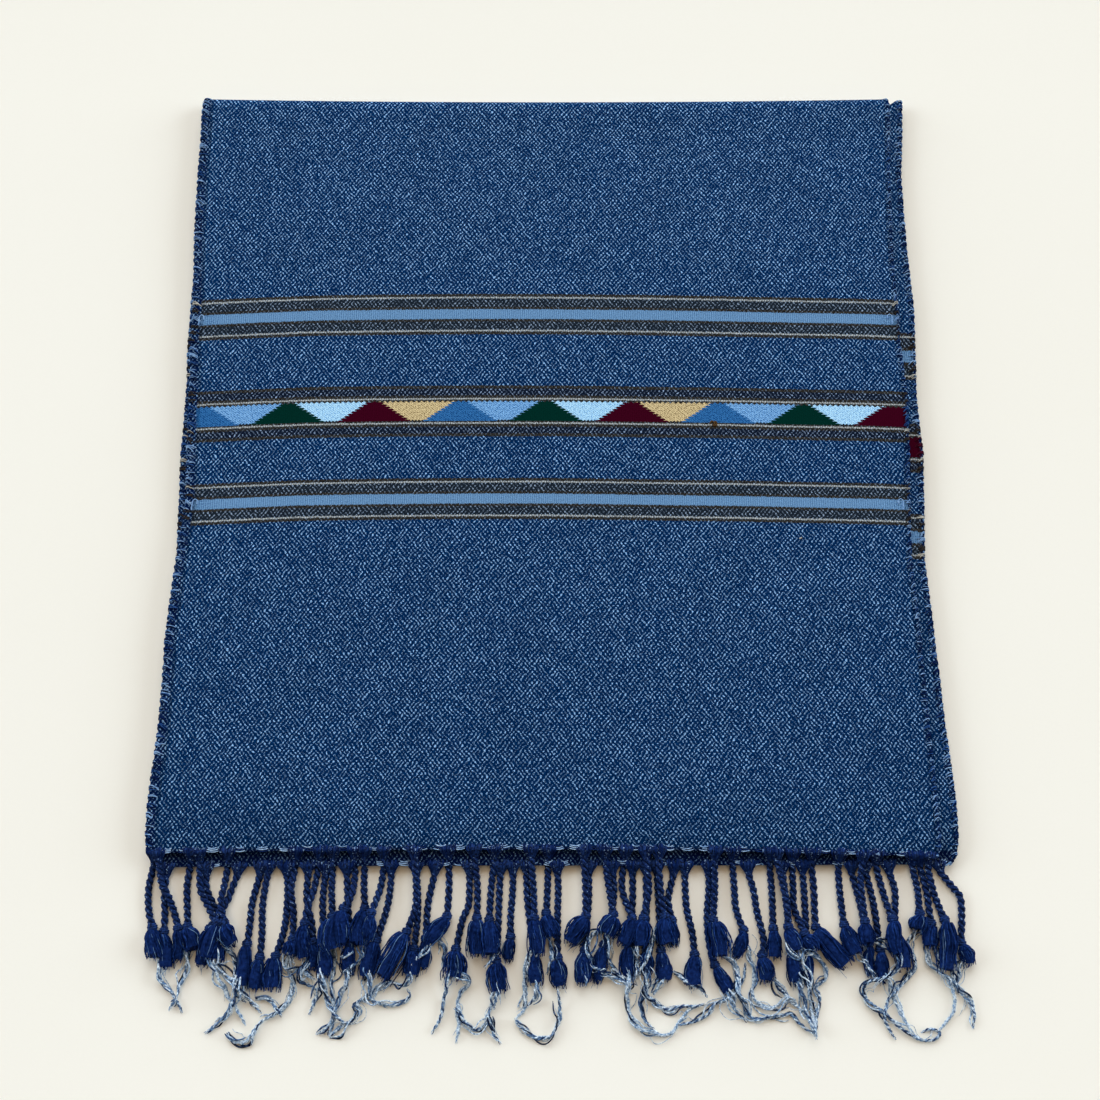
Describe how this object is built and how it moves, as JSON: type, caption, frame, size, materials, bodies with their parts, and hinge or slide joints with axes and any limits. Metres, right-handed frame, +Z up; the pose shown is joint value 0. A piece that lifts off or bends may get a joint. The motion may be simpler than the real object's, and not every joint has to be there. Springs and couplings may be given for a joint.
{
  "type": "muffler scarf",
  "caption": "Handwoven muffler folded in four and lying flat, with stripe and triangle bands, and knotted cord fringes ending in tufts and loose threads.",
  "frame": {"origin": "on the table under the middle of the folded muffler's outline, fringes included", "axes": "+X across the cloth to the right of someone who looks at the fringed ends, +Y from the fringes to the top fold, +Z up from the table"},
  "size_m": [0.3324, 0.4222, 0.0079],
  "materials": {
    "woven_cloth": "soft blue twill flecked with light blue, with charcoal, cream and light blue stripes and a tapestry band of triangles",
    "fringe_yarn": "dark navy twisted cords and tufts with loose pale blue threads",
    "loose_thread": "pale blue twisted cotton threads flecked with navy"
  },
  "bodies": {
    "root": {"front_panel": "woven_cloth", "second_panel": "woven_cloth", "hidden_layers": "woven_cloth", "front_fringe": "fringe_yarn", "second_fringe": "fringe_yarn"}
  },
  "joints": []
}
